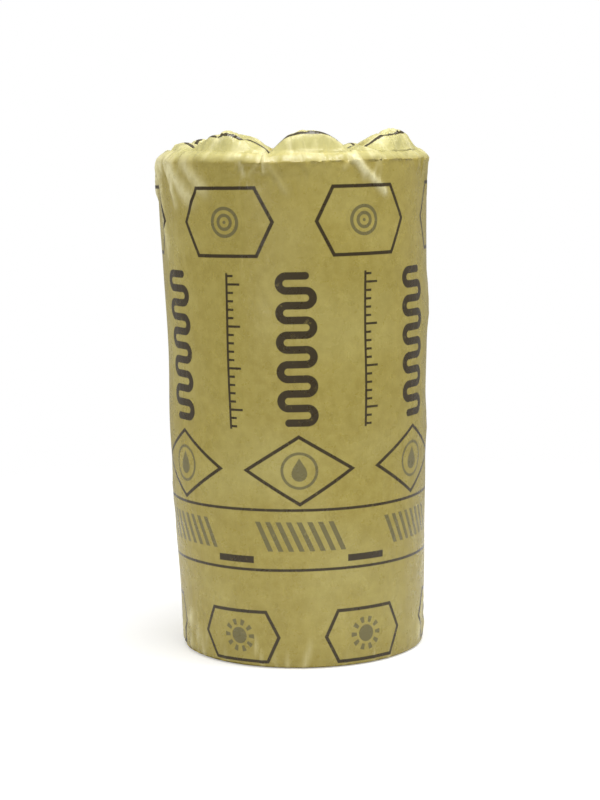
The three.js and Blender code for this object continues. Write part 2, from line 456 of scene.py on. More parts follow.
# Folds in the wall: from and to in degrees round and metres up, then half width and height in metres.
FOLDS = [
    (26.5, 1.222, 40.0, 1.150, 0.0095, 0.0065),
    (-11.8, 1.240, -11.8, 1.202, 0.0040, 0.0035),
    (-22.0, 1.218, -20.5, 1.194, 0.0045, -0.0040),
    (-90.0, 1.150, -74.0, 1.214, 0.0180, 0.0085),
    (-66.0, 1.222, -58.0, 1.124, 0.0080, 0.0040),
    (-76.0, 1.205, -68.0, 1.020, 0.0120, 0.0040),
    (-63.0, 1.212, -50.0, 1.145, 0.0180, 0.0050),
    (-50.0, 1.214, -41.0, 1.165, 0.0160, 0.0040),
    (-84.0, 0.035, -64.0, 0.092, 0.0130, 0.0045),
    (-66.0, 0.020, -57.0, 0.058, 0.0080, 0.0035),
    (69.0, 0.030, 79.0, 0.120, 0.0130, 0.0042),
    (86.0, 0.045, 93.0, 0.100, 0.0100, 0.0035),
    (92.0, 0.905, 84.0, 0.840, 0.0260, 0.0050),
    (93.0, 0.600, 86.0, 0.545, 0.0260, 0.0045),
    (-95.0, 0.450, -84.0, 0.395, 0.0240, 0.0040),
    (148.0, 0.980, 139.0, 0.860, 0.0200, 0.0045),
    (-150.0, 0.700, -141.0, 0.590, 0.0220, 0.0045),
]
BROAD_FOLD = 0.020  # folds wider than this don't whiten the film
FULLY_BENT = 0.006  # and sharp ones this tall whiten it most
FOLD_TAPER = 1.6  # a fold ends in a taper as long as its half width times this
FOOT_FOLDS = 40
TOP_PLEATS = 74
RIM_FOLDS = 64
RIM_FOLD_REACH = (0.035, 0.16)  # metres down, and share of the way in
FOOT_PLEATS = 60
PLEAT_LIFT = 0.0022  # a pleat under the foot holds the film off the floor by this much
PLEATS_START = 0.09  # and grows over this much of the way in
BUCKLES = [(0.009, 0.085), (0.004, 0.034)]  # the height and the wavelength of those on the lobes
WALL_BUCKLES = (0.002, 0.05, 0.10)  # and of those under the top rim, and how far down they reach
WALL_WAVES = 24
WAVE_HEIGHT = 0.0006
TOP_SHIFT, FOOT_SHIFT = -0.0035, 0.005  # the top of the wall shifts to the left, and its foot to the right
SHIFTED_TOP, SHIFTED_FOOT = (1.0, 1.12), (0.07, 0)  # the shifts grow from the first height to the second
DEEPEST_DENT = 0.0035
LAP_STEP, LAP_EDGE = 0.0007, 0.002  # how thick the weld's lap is, and how broad its dark edges
STANDOFF_AND_HIGHLIGHT_AT_RIM = 0.76  # how far the film stands off the wool at the rim, from 0 to 1, which also paints a highlight, as of light from above, over the rim's bevel and the top end
STANDOFF_AND_HIGHLIGHT_WITHIN = (0.010, 0.15)  # the film comes off, with its painted highlight, over this height of the bevel, and this share of the way in
LIFTED_BY = 0.004  # a pleat or buckle this tall stands off all the way
SEAM_BEARING = 165  # the weld up the back
SEAM_HALF_WIDTH = 0.013
FILM_COLUMNS = 360
LOW_WALL_TOP = 1.05  # the quads of the wall are smaller above this height
RING_ROWS, CORNER_ROWS, LOW_WALL_ROWS, HIGH_WALL_ROWS, BEVEL_ROWS, TOP_ROWS = 11, 6, 30, 28, 10, 54
GATHER_FROM = 1.09  # the film above this height is crumpled by a simulation
FREE_ABOVE = GATHER_FROM + 0.12  # and is let go more and more up to this one
GATHER_FRAMES = 16
SPARE_FILM, SPARE_AT_RIM = 0.15, 0.35  # how much too big it is at the mouth, and the rim's share of that
EDGE_HOLD, MOUTH_EDGE = 0.4, 0.985  # the mouth's edge is half held, from this far in
FURTHEST_MOVE = 0.012
GENTLE_PRESSURE = 2.5
FILM_STIFFNESS = 30
FILM_BENDING = 0.005
WOOL_CORNER = 0.032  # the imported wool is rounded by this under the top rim
WALL_SLACK = 0.0015  # between the wool and the wall of the sleeve
END_SLACK = 0.0005  # and between it and the sleeve over its ends


def wall_radius(height):
    share = height / ROLL_HEIGHT
    return FOOT_RADIUS + (TOP_RADIUS - FOOT_RADIUS) * share + 4 * BELLY_SWELL * share * (1 - share)


def column(start, end, rows):
    """Evenly spaced numbers as one column, which numpy then repeats for each bearing."""
    return np.linspace(start, end, rows)[:, None]


def film_section(foot_rim):
    """The sleeve's section from the foot's mouth to the top's. It takes the rounding of the foot at each
    bearing. Gives a row for each point of the section and a column for each bearing: the radius, the
    height, and the share of the way in over the top."""
    foot_centre = wall_radius(foot_rim) - foot_rim
    top_centre = wall_radius(ROLL_HEIGHT - TOP_RIM) - TOP_BEVEL
    under_foot = MOUTH_RADIUS + (foot_centre - MOUTH_RADIUS) * column(0, 1, RING_ROWS)[:-1]
    low_corner = column(-math.pi / 2, 0, CORNER_ROWS)
    low_wall = foot_rim + (LOW_WALL_TOP - foot_rim) * column(0, 1, LOW_WALL_ROWS)[1:]
    high_wall = column(LOW_WALL_TOP, ROLL_HEIGHT - TOP_RIM, HIGH_WALL_ROWS)[1:-1]
    high_corner = column(0, math.pi / 2, BEVEL_ROWS)
    in_bevel, up_bevel = np.cos(high_corner) ** BEVEL_FLATNESS, np.sin(high_corner) ** BEVEL_FLATNESS
    inward = column(0, 1, TOP_ROWS)[1:]
    sections = [
        (under_foot, 0),
        (foot_centre + foot_rim * np.cos(low_corner), foot_rim + foot_rim * np.sin(low_corner)),
        (wall_radius(low_wall), low_wall),
        (wall_radius(high_wall), high_wall),
        (top_centre + TOP_BEVEL * in_bevel, ROLL_HEIGHT - TOP_RIM + TOP_RIM * up_bevel),
        (top_centre + (MOUTH_RADIUS - top_centre) * inward, ROLL_HEIGHT),
    ]
    radius = np.concatenate([across + 0 * foot_rim for across, _ in sections])
    height = np.concatenate([up + 0 * (across + foot_rim) for across, up in sections])
    over_top = np.concatenate([np.zeros((len(radius) - len(inward), 1)), inward])
    return radius, height, over_top


def lobe_at(bearing):
    """For each bearing, the height of its lobe, and the share of the way across it, from -1 to 1."""
    starts = np.array([tuck for tuck, _ in LOBES], float)
    widths = np.diff(np.append(starts, starts[0] + 360))
    round_it = (bearing - starts[0]) % 360 + starts[0]
    which = np.searchsorted(starts, round_it, side="right") - 1
    heights = np.array([height for _, height in LOBES])
    return heights[which], 2 * (round_it - starts[which]) / widths[which] - 1


def part_way(value, start, end):
    """How far the value is on its way from start to end, from 0 to 1."""
    return np.clip((value - start) / (end - start), 0, 1)


def turned_back(degrees):
    return (degrees + 180) % 360 - 180


def ridge(distance, half_width):
    """A soft ridge: 1 on its line, and about a third at its half width."""
    return np.exp(-((distance / half_width) ** 2))


def spread_round(count, random, uneven):
    """Bearings spread round the roll, each of them off its even place by up to this many degrees."""
    return np.linspace(-180, 180, count, endpoint=False) + random.uniform(-uneven, uneven, count)


def fold_height(bearing, height, fold):
    """The height of one fold in the wall. It runs along a straight line and tapers at its two ends."""
    from_bearing, from_height, to_bearing, to_height, half_width, tall = fold
    metres_a_degree = math.radians(1) * TOP_RADIUS
    east = turned_back(bearing - from_bearing) * metres_a_degree
    up = height - from_height
    run_east = turned_back(to_bearing - from_bearing) * metres_a_degree
    run_up = to_height - from_height
    length = math.hypot(run_east, run_up)
    along = (east * run_east + up * run_up) / length
    aside = (east * run_up - up * run_east) / length
    past_end = np.maximum(np.maximum(-along, along - length), 0)
    return tall * ridge(aside, half_width) * ridge(past_end, FOLD_TAPER * half_width)


def crumple(points, random, wavelength, count=7):
    """Sharp-edged buckles, as in squeezed film: the mean of folded waves that run in all directions."""
    total = np.zeros(points.shape[:2])
    for _ in range(count):
        direction = random.normal(size=3)
        direction /= np.linalg.norm(direction)
        length = wavelength * random.uniform(0.6, 1.5)
        total += np.abs(np.sin(points @ direction * np.pi / length + random.uniform(0, 2 * np.pi)))
    return total / count - 2 / np.pi


def grid_normals(points):
    """Outward normals of a grid that closes on itself round the roll."""
    round_way = np.roll(points, -1, axis=1) - np.roll(points, 1, axis=1)
    normals = np.cross(round_way, np.gradient(points, axis=0))
    return normals / np.maximum(np.linalg.norm(normals, axis=2, keepdims=True), 1e-9)


def top_relief(points, bearing, over_top, lift, random):
    """How far the top's pleats and buckles stand out. Pleats run in over the lobes and grow inwards."""
    relief = np.zeros(lift.shape)
    for place in spread_round(TOP_PLEATS, random, 2.0):
        start = random.uniform(-0.1, 0.45)
        lean = random.uniform(-5.0, 5.0)
        grown = part_way(over_top, start, 1.05) ** 1.2
        tall = random.uniform(0.0015, 0.0065)
        aside = turned_back(bearing - place - lean * over_top)
        relief += tall * ridge(aside, random.uniform(1.0, 1.9)) * grown
    buckles = sum(size * crumple(points, random, wavelength) for size, wavelength in BUCKLES)
    puffed = 0.35 + 0.65 * part_way(lift, 0, 0.03)
    return (relief + buckles * puffed) * part_way(over_top, 0, 1 / 9)


def rim_folds(bearing, height, over_top, random):
    """Short folds that run over the top rim, where the film is drawn in to a smaller round."""
    down = (ROLL_HEIGHT - height) / RIM_FOLD_REACH[0]
    inward = over_top / RIM_FOLD_REACH[1]
    total = 0 * (bearing + height)
    for place in spread_round(RIM_FOLDS, random, 3):
        lean, half_width = random.uniform(-3, 3), random.uniform(0.5, 1.3)
        middle = random.uniform(-0.3, 0.5)
        tall = random.uniform(0.001, 0.0032) * ridge(inward - down - middle, 0.8)
        total += tall * ridge(turned_back(bearing - place - lean * inward), half_width)
    return total


def wall_folds(bearing, height, random):
    """The wall's folds: the ones listed, lines of tension that fan down from each tuck, and short folds
    that rise from the foot. Gives how far they stand out, and how sharply they are bent, from 0 to 1."""
    folds = list(FOLDS)
    for tuck, _ in LOBES:
        for _ in range(2):
            to_side, down = random.uniform(-9, 9), random.uniform(0.03, 0.09)
            half_width, size = random.uniform(0.004, 0.007), random.uniform(0.001, 0.0024)
            folds.append((tuck, ROLL_HEIGHT, tuck + to_side, ROLL_HEIGHT - down, half_width, size))
    for place in random.uniform(-180, 180, FOOT_FOLDS):
        to_side, up = random.uniform(-4, 4), random.uniform(0.02, 0.07)
        half_width, size = random.uniform(0.004, 0.008), random.uniform(0.001, 0.003)
        folds.append((place, 0.0, place + to_side, up, half_width, size))
    rise, bent = 0 * (bearing + height), 0 * (bearing + height)
    for fold in folds:
        this = fold_height(bearing, height, fold)
        rise += this
        bent += np.abs(this) / FULLY_BENT * (fold[4] < BROAD_FOLD)
    return rise, np.clip(bent, 0, 1)


def wall_relief(points, bearing, height, random):
    """Slow waves where the wool pushes harder, buckles under the top rim, and the lap of the weld."""
    relief = np.zeros(points.shape[:2])
    for _ in range(WALL_WAVES):
        length = random.uniform(0.25, 0.9)
        round_phase, up_phase = random.uniform(0, 2 * np.pi, 2)
        round_wave = np.sin(random.integers(1, 7) * np.radians(bearing) + round_phase)
        relief += WAVE_HEIGHT * round_wave * np.sin(2 * np.pi * height / length + up_phase)
    near_top, near_foot = part_way(height, *SHIFTED_TOP), part_way(height, *SHIFTED_FOOT)
    relief += (TOP_SHIFT * near_top + FOOT_SHIFT * near_foot) * np.sin(np.radians(bearing))
    relief = np.maximum(relief, -DEEPEST_DENT)
    size, wavelength, reach = WALL_BUCKLES
    near_rim = part_way(height, ROLL_HEIGHT - reach, ROLL_HEIGHT) ** 1.5
    relief += size * crumple(points, random, wavelength) * near_rim
    aside = np.abs(turned_back(bearing - SEAM_BEARING)) * math.radians(1) * wall_radius(height)
    return relief * part_way(height, 0, 0.015) + LAP_STEP * (aside < SEAM_HALF_WIDTH)


def soft_film(piece):
    """Makes the piece soft film that is a little too big for its shape, and blown up gently."""
    cloth = piece.modifiers.new("film", "CLOTH")
    soft = cloth.settings
    soft.quality = 5
    soft.mass = 0.05
    soft.tension_stiffness = soft.compression_stiffness = FILM_STIFFNESS
    soft.shear_stiffness = FILM_STIFFNESS / 3
    soft.bending_stiffness = FILM_BENDING
    soft.vertex_group_mass = "held"
    soft.vertex_group_shrink = "tight"
    soft.shrink_min = -SPARE_FILM
    soft.use_pressure = True
    soft.uniform_pressure_force = GENTLE_PRESSURE
    soft.effector_weights.gravity = 0
    cloth.collision_settings.use_collision = False
    cloth.point_cache.frame_end = GATHER_FRAMES


def gathered_film(points, height, over_top):
    """Lets the gathered end of the sleeve crumple. Most of the wall and the mouth's edge hold the film, and
    no point moves past the limit."""
    first = int(np.argmax(height[:, 0] > GATHER_FROM))
    loose = points[first:]
    rows, columns, _ = loose.shape
    end = new_object("gathered_end", grid_mesh("gathered_end", loose))
    inward, level = over_top[first:, 0], height[first:, 0]
    held = part_way(level, FREE_ABOVE, GATHER_FROM + 0.04)
    held = np.where(inward > 0, EDGE_HOLD * (inward > MOUTH_EDGE), held)
    spare_in_wall = SPARE_AT_RIM * part_way(level, GATHER_FROM + 0.02, FREE_ABOVE)
    spare = np.where(inward > 0, SPARE_AT_RIM + (1 - SPARE_AT_RIM) * inward, spare_in_wall)
    pins, tight = end.vertex_groups.new(name="held"), end.vertex_groups.new(name="tight")
    for row in range(rows):
        points_of_row = list(range(row * columns, (row + 1) * columns))
        pins.add(points_of_row, held[row], "REPLACE")
        tight.add(points_of_row, 1 - spare[row], "REPLACE")
    soft_film(end)
    for frame_number in range(1, GATHER_FRAMES + 1):
        bpy.context.scene.frame_set(frame_number)
    settled = end.evaluated_get(bpy.context.evaluated_depsgraph_get())
    place = np.empty(loose.size, np.float32)
    settled.data.vertices.foreach_get("co", place)
    bpy.data.objects.remove(end)
    bpy.context.scene.frame_set(1)
    move = place.reshape(loose.shape) - loose
    far = np.maximum(np.linalg.norm(move, axis=2, keepdims=True), 1e-9)
    gathered = points.copy()
    gathered[first:] += move * FURTHEST_MOVE * np.tanh(far / FURTHEST_MOVE) / far
    return gathered


def kept_off_wool(points):
    """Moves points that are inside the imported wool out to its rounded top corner, its wall or its end."""
    radius = np.hypot(points[:, :, 0], points[:, :, 1])
    level = points[:, :, 2]
    past_side = radius - (wall_radius(np.minimum(level, ROLL_HEIGHT)) - WALL_SLACK - WOOL_CORNER)
    past_end = level - (ROLL_HEIGHT - END_SLACK - WOOL_CORNER)
    in_corner = (past_side > 0) & (past_end > 0)
    from_corner = np.maximum(np.hypot(past_side, past_end), 1e-9)
    out = np.where(in_corner, past_side / from_corner, past_side > past_end)
    up = np.where(in_corner, past_end / from_corner, past_side <= past_end)
    depth = WOOL_CORNER - np.where(in_corner, from_corner, np.maximum(past_side, past_end))
    push = np.where(level > GATHER_FROM, np.clip(depth, 0, None), 0.0)
    moved = points.copy()
    moved[:, :, 0] += points[:, :, 0] / radius * out * push
    moved[:, :, 1] += points[:, :, 1] / radius * out * push
    moved[:, :, 2] += up * push
    return moved


def grid_mesh(name, points):
    """A mesh of quads from a grid of points that closes on itself round the roll."""
    rows, columns, _ = points.shape
    corner = np.arange(rows * columns).reshape(rows, columns)
    after = np.roll(corner, -1, axis=1)
    quads = np.stack([corner[:-1], after[:-1], after[1:], corner[1:]], axis=2).reshape(-1, 4)
    mesh = bpy.data.meshes.new(name)
    mesh.from_pydata(points.reshape(-1, 3).tolist(), [], quads.tolist())
    return mesh


def shaped_film():
    """The sleeve's outer skin as a grid of points. With them come their place along the film, how far they
    stand off the wool, which also carries a painted highlight over the top rim's bevel and the top end, and
    how sharply the film is bent there, the last two from 0 to 1."""
    random = np.random.default_rng(11)
    bearing = np.linspace(SEAM_BEARING - 360, SEAM_BEARING, FILM_COLUMNS, endpoint=False)[None, :]
    turn = np.radians(bearing)
    radius, height, over_top = film_section(FOOT_RIM * (1 - FOOT_LEAN * np.sin(turn)))
    size, across = lobe_at(bearing)
    puff = np.clip(1 - across**2, 0, 1) ** LOBE_SHARPNESS
    off_shelf = part_way(over_top, *SHELF)
    off_shelf = off_shelf * off_shelf * (3 - 2 * off_shelf)
    lift = size * puff * (np.sin(np.pi * over_top**CREST_PLACE) * off_shelf + EDGE_LIFT * over_top**2)
    ragged = sum(np.sin(turn * count + random.uniform(0, 6.3)) for count in (7, 11, 17, 23))
    drawn = radius - over_top**2 * (MOUTH_SCALLOP * (2 * puff - 1) + TOP_RAGGED * ragged)
    under_foot = part_way(radius, FOOT_RADIUS, FOOT_RADIUS - PLEATS_START) * (height == 0)
    drawn = drawn + under_foot**3 * FOOT_RAGGED * ragged
    level = height + 0 * bearing
    points = np.stack([drawn * np.sin(turn), -drawn * np.cos(turn), level + lift], axis=2)
    # The puffed film leaves the wall in one sweep, and only the tucks pull it tight over the corner.
    loose = part_way(size, 0, TIGHT_LOBE) * puff
    loose = loose * ridge(height - ROLL_HEIGHT, LOOSE_RIM[0]) * ridge(over_top, LOOSE_RIM[1])
    for _ in range(SWEEP_PASSES):
        between_rows = (np.roll(points, 1, axis=0) + np.roll(points, -1, axis=0)) / 2
        points = points + (between_rows - points) * (SWEEP_SHARE * loose)[:, :, None]
    normals = grid_normals(points)

    on_top = over_top > 0
    gathers = top_relief(points, bearing, over_top, lift, random)
    folds, bent = wall_folds(bearing, height, random)
    folds = folds * part_way(height, 0, 0.01) * ~on_top
    wall = wall_relief(points, bearing, height, random) * ~on_top
    over_rim = rim_folds(bearing, height, over_top, random)
    shaped = points + normals * (gathers + folds + wall + over_rim)[:, :, None]

    # The foot's pleats lie pressed between the roll and the floor.
    pressed = np.zeros(lift.shape)
    for place in spread_round(FOOT_PLEATS, random, 2.5):
        pressed += random.uniform(0.2, 1.0) * ridge(turned_back(bearing - place), random.uniform(0.8, 1.8))
    shaped[:, :, 2] += PLEAT_LIFT * pressed * under_foot
    shaped = gathered_film(shaped, height, over_top)
    shaped = kept_off_wool(shaped)
    lowest = np.where(on_top, ROLL_HEIGHT - END_SLACK, 0.0)
    shaped[:, :, 2] = np.maximum(shaped[:, :, 2], lowest)

    steps = np.linalg.norm(np.diff(shaped, axis=0, prepend=shaped[:1]), axis=2)
    over_end = np.cumsum(steps * on_top, axis=0)
    before_foot = (wall_radius(FOOT_RIM) - FOOT_RIM - radius) * (height == 0)
    along = level + over_end - before_foot
    # Painted highlight: from high on the top rim's bevel inwards, the film is painted pale, as if lit from
    # above, on top of where it stands off the wool.
    up_bevel = part_way(level - ROLL_HEIGHT + TOP_RIM, 0, STANDOFF_AND_HIGHLIGHT_WITHIN[0])
    past_rim = part_way(over_top, 0, STANDOFF_AND_HIGHLIGHT_WITHIN[1])
    air_and_top_highlight = STANDOFF_AND_HIGHLIGHT_AT_RIM * up_bevel + (1 - STANDOFF_AND_HIGHLIGHT_AT_RIM) * past_rim + part_way(gathers, 0, LIFTED_BY)
    bent = bent * ~on_top + 0.6 * under_foot * pressed
    return shaped, along, np.clip(air_and_top_highlight, 0, 1), np.clip(bent, 0, 1)


def film_mesh(name, points, along, air_and_top_highlight, bent):
    """The skin as a mesh. Its UV map holds the share of the way round from the weld, and the place along
    the film in metres. Its first attribute says where it stands off the wool and where a highlight is
    painted over the top rim's bevel and the top end; "bent" says where it is folded."""
    columns = points.shape[1]
    mesh = grid_mesh(name, points)
    corners = np.empty(4 * len(mesh.polygons), np.int32)
    mesh.loops.foreach_get("vertex_index", corners)
    quads = corners.reshape(-1, 4)
    share = np.array([[0, 1, 1, 0]]) + quads[:, :1] % columns
    place = np.stack([share / columns, along.ravel()[quads]], axis=2)
    mesh.uv_layers.new(name="film").data.foreach_set("uv", place.ravel())
    mesh.attributes.new("air_and_top_highlight", "FLOAT", "POINT").data.foreach_set("value", air_and_top_highlight.ravel())
    mesh.attributes.new("bent", "FLOAT", "POINT").data.foreach_set("value", bent.ravel())
    mesh.shade_smooth()
    return mesh


# The print comes six times round the roll, in dark brown and grey ink. Sizes across are from the middle
# of a repeat, and heights from the foot.
REPEATS = 6
REPEAT_WIDTH = 2 * math.pi * 0.322 / REPEATS  # it is true to size where the roll has this radius
FRAME_LINE = 0.0085
INK_EDGE = 0.0008  # the ink's edge is this soft
RIPPLE_MIDDLE, DROP_MIDDLE, SUN_MIDDLE = 1.082, 0.489, 0.078
# Half of the width and of the height of each frame.
RIPPLE_FRAME, DROP_FRAME, SUN_FRAME = (0.118, 0.080), (0.132, 0.082), (0.108, 0.063)
HEXAGON_SLANT = 0.5
RIPPLE_PITCH, RIPPLES_END = 0.0165, 0.0455
DROP_SIZE, DROP_SHIFT = 0.019, 0.007  # the drop is round to this radius, and sits this much low
RING_RADIUS, RING_LINE = 0.042, 0.007
SUN_RADIUS, RAYS_REACH = 0.021, (0.027, 0.042)
SUN_RAYS = 10.0
WINDING_FOOT = 0.605
WINDING_TURNS = 5
WINDING_LINE = 0.0185
BEND_RADIUS = 0.0175
STRAND_REACH = 0.022
SCALE_FOOT, SCALE_ENDS, SCALE_LINE = 0.585, (0.003, 0.377), 0.006
TICK_LINE = 0.0056
TICKS = [(0.02, 0.017), (0.10, 0.034)]  # the pitch and the reach of the short ones and the long ones
BAND_LINES = [(0.246, 0.007), (0.393, 0.007), (1.292, 0.012)]  # how far up each is, and how broad
DASH_MIDDLE, DASH_SIZE = 0.2705, (0.10, 0.017)
BAR_PITCH, BAR_SLANT = 0.026, 0.45
BARS_MIDDLE, BARS_SIZE = 0.328, (8 * BAR_PITCH, 0.072)
INK = (0.030, 0.018, 0.003, 1)
GREY_INK = (0.135, 0.118, 0.048, 1)


def inside(tree, distance, edge=0.0):
    """1 where the distance is under the edge, with the ink's soft edge."""
    return ramp(tree, distance, edge - INK_EDGE, edge + INK_EDGE, 1.0, 0.0)


def between(tree, value, low, high):
    return inside(tree, calc(tree, "ABSOLUTE", less(tree, value, (low + high) / 2)), (high - low) / 2)


def stroke(tree, distance, line):
    """A line drawn along the places where the distance is 0."""
    return inside(tree, calc(tree, "ABSOLUTE", distance), line / 2)


def filled_box(tree, x, y, width, height):
    return product(tree, stroke(tree, x, width), stroke(tree, y, height))


def repeat_place(tree, share, shift):
    """The place across one repeat in metres from its middle, for print that is shifted by a share of it."""
    start = REPEATS * (SEAM_BEARING - 360) / 360
    turns = calc(tree, "MULTIPLY_ADD", share, REPEATS, start + 0.5 - shift)
    return product(tree, less(tree, calc(tree, "FRACT", turns), 0.5), REPEAT_WIDTH)


def long_hexagon(tree, x, y, half_width, half_height):
    """The distance to a hexagon with level sides above and below, negative inside."""
    across, up = calc(tree, "ABSOLUTE", x), calc(tree, "ABSOLUTE", y)
    slant = less(tree, calc(tree, "MULTIPLY_ADD", up, HEXAGON_SLANT, across), half_width)
    squarely = product(tree, slant, math.cos(math.atan(HEXAGON_SLANT)))
    return maximum(tree, squarely, less(tree, up, half_height))


def lozenge(tree, x, y, half_width, half_height):
    flat = product(tree, calc(tree, "ABSOLUTE", x), half_height / half_width)
    total = less(tree, calc(tree, "ADD", flat, calc(tree, "ABSOLUTE", y)), half_height)
    return product(tree, total, math.cos(math.atan(half_height / half_width)))


def ripple_badge(tree, x, y):
    """Ripples that spread from a dot."""
    radius = radius_of(tree, x, y)
    ripple = calc(tree, "COSINE", product(tree, radius, 2 * math.pi / RIPPLE_PITCH))
    rings = product(tree, ramp(tree, ripple, -0.15, 0.15), inside(tree, radius, RIPPLES_END))
    return stroke(tree, long_hexagon(tree, x, y, *RIPPLE_FRAME), FRAME_LINE), rings


def drop_badge(tree, x, y):
    """A drop of water in a ring."""
    up = calc(tree, "ADD", y, DROP_SHIFT)
    ball = inside(tree, radius_of(tree, x, up), DROP_SIZE)
    point = inside(tree, lozenge(tree, x, up, 1.25 * DROP_SIZE, 2.0 * DROP_SIZE))
    tip = product(tree, point, inside(tree, less(tree, 0.55 * DROP_SIZE, up)))
    ring = stroke(tree, less(tree, radius_of(tree, x, y), RING_RADIUS), RING_LINE)
    return stroke(tree, lozenge(tree, x, y, *DROP_FRAME), FRAME_LINE), maximum(tree, ball, tip, ring)


def sun_badge(tree, x, y):
    """A sun and its rays."""
    radius = radius_of(tree, x, y)
    wave = calc(tree, "COSINE", product(tree, calc(tree, "ARCTAN2", y, x), SUN_RAYS))
    rays = product(tree, ramp(tree, wave, 0.0, 0.3), between(tree, radius, *RAYS_REACH))
    sun = maximum(tree, inside(tree, radius, SUN_RADIUS), rays)
    return stroke(tree, long_hexagon(tree, x, y, *SUN_FRAME), FRAME_LINE), sun


def winding_line(tree, x, y):
    """The winding line that stands for insulation on a building drawing: strands joined by round bends. It
    starts at the foot on the left and ends at the top on the right, in round ends."""
    period = 4 * BEND_RADIUS
    to_side = less(tree, calc(tree, "ABSOLUTE", x), STRAND_REACH)
    side = calc(tree, "MULTIPLY_ADD", calc(tree, "SIGN", x), -0.25, 0.5)
    turns = calc(tree, "ADD", calc(tree, "DIVIDE", y, period), side)
    from_bend = product(tree, less(tree, calc(tree, "FRACT", turns), 0.5), period)
    bend = less(tree, radius_of(tree, to_side, from_bend), BEND_RADIUS)
    from_strand = calc(tree, "PINGPONG", calc(tree, "ABSOLUTE", y), BEND_RADIUS)
    past = calc(tree, "GREATER_THAN", to_side, 0.0)
    drawn = maximum(
        tree,
        product(tree, stroke(tree, from_strand, WINDING_LINE), calc(tree, "LESS_THAN", to_side, 0.0)),
        product(tree, stroke(tree, bend, WINDING_LINE), past),
    )
    top = WINDING_TURNS * period
    half_line = WINDING_LINE / 2
    left, right = calc(tree, "LESS_THAN", x, 0.0), calc(tree, "GREATER_THAN", x, 0.0)
    below = product(tree, calc(tree, "LESS_THAN", y, BEND_RADIUS), left)
    above = product(tree, calc(tree, "GREATER_THAN", y, top - BEND_RADIUS), right)
    cut = product(tree, past, calc(tree, "ADD", below, above))
    drawn = product(tree, drawn, less(tree, 1.0, cut), between(tree, y, -half_line, top + half_line))
    first_end = inside(tree, radius_of(tree, calc(tree, "ADD", x, STRAND_REACH), y), half_line)
    last_end = inside(tree, radius_of(tree, less(tree, x, STRAND_REACH), less(tree, y, top)), half_line)
    return maximum(tree, drawn, first_end, last_end)


def tick_scale(tree, x, y):
    """A scale of short and long ticks on an upright line."""
    drawn = stroke(tree, x, SCALE_LINE)
    for pitch, reach in TICKS:
        off_tick = less(tree, calc(tree, "FRACT", calc(tree, "DIVIDE", y, pitch)), 0.5)
        ticks = product(tree, stroke(tree, off_tick, TICK_LINE / pitch), between(tree, x, 0.0, reach))
        drawn = maximum(tree, drawn, ticks)
    return product(tree, drawn, between(tree, y, *SCALE_ENDS))


def slanting_bars(tree, x, y):
    slanted = calc(tree, "MULTIPLY_ADD", y, BAR_SLANT, x)
    bars = between(tree, calc(tree, "FRACT", calc(tree, "DIVIDE", slanted, BAR_PITCH)), 0.25, 0.75)
    return product(tree, bars, filled_box(tree, slanted, y, *BARS_SIZE))


def film_print(tree, share, along):
    """The masks of the dark ink and of the grey ink."""
    middle = repeat_place(tree, share, 0.0)
    beside = repeat_place(tree, share, 0.5)
    ripple_frame, ripples = ripple_badge(tree, beside, less(tree, along, RIPPLE_MIDDLE))
    drop_frame, drop = drop_badge(tree, middle, less(tree, along, DROP_MIDDLE))
    sun_frame, sun = sun_badge(tree, beside, less(tree, along, SUN_MIDDLE))
    lines = [stroke(tree, less(tree, along, level), line) for level, line in BAND_LINES]
    dark = maximum(
        tree,
        ripple_frame,
        drop_frame,
        sun_frame,
        winding_line(tree, middle, less(tree, along, WINDING_FOOT)),
        tick_scale(tree, beside, less(tree, along, SCALE_FOOT)),
        filled_box(tree, beside, less(tree, along, DASH_MIDDLE), *DASH_SIZE),
        *lines,
    )
    bars = slanting_bars(tree, middle, less(tree, along, BARS_MIDDLE))
    return dark, maximum(tree, ripples, drop, sun, bars)


# The film's colours: tight on the wool, standing off it, which is also the painted highlight over the top
# rim's bevel and the top end, and where its folds are whitened by stress.
FILM_ON_WOOL = (0.44, 0.358, 0.086, 1)
FILM_ON_SHADE = (0.375, 0.298, 0.062, 1)
FILM_OFF_WOOL = (0.75, 0.705, 0.305, 1)
FILM_WHITENED = (0.86, 0.80, 0.47, 1)


def stretched(tree, place, across, along):
    made = add_node(tree, "ShaderNodeMapping", place, vector_type="POINT")
    made.inputs["Scale"].default_value = (across, along, 1.0)
    return made.outputs[0]


def creases(tree, place, across, along):
    """Flat facets that meet in sharp creases. There are so many round the sleeve, and so many a metre."""
    facets = stretched(tree, place, across, along)
    noise = add_node(tree, "ShaderNodeTexNoise", facets, 0.8, 2.0, 0.5).outputs["Color"]
    bent = add_node(tree, "ShaderNodeVectorMath", noise, (1.2, 1.2, 0.0), facets, operation="MULTIPLY_ADD")
    return add_node(tree, "ShaderNodeTexVoronoi", bent.outputs[0], 1.0).outputs["Distance"]


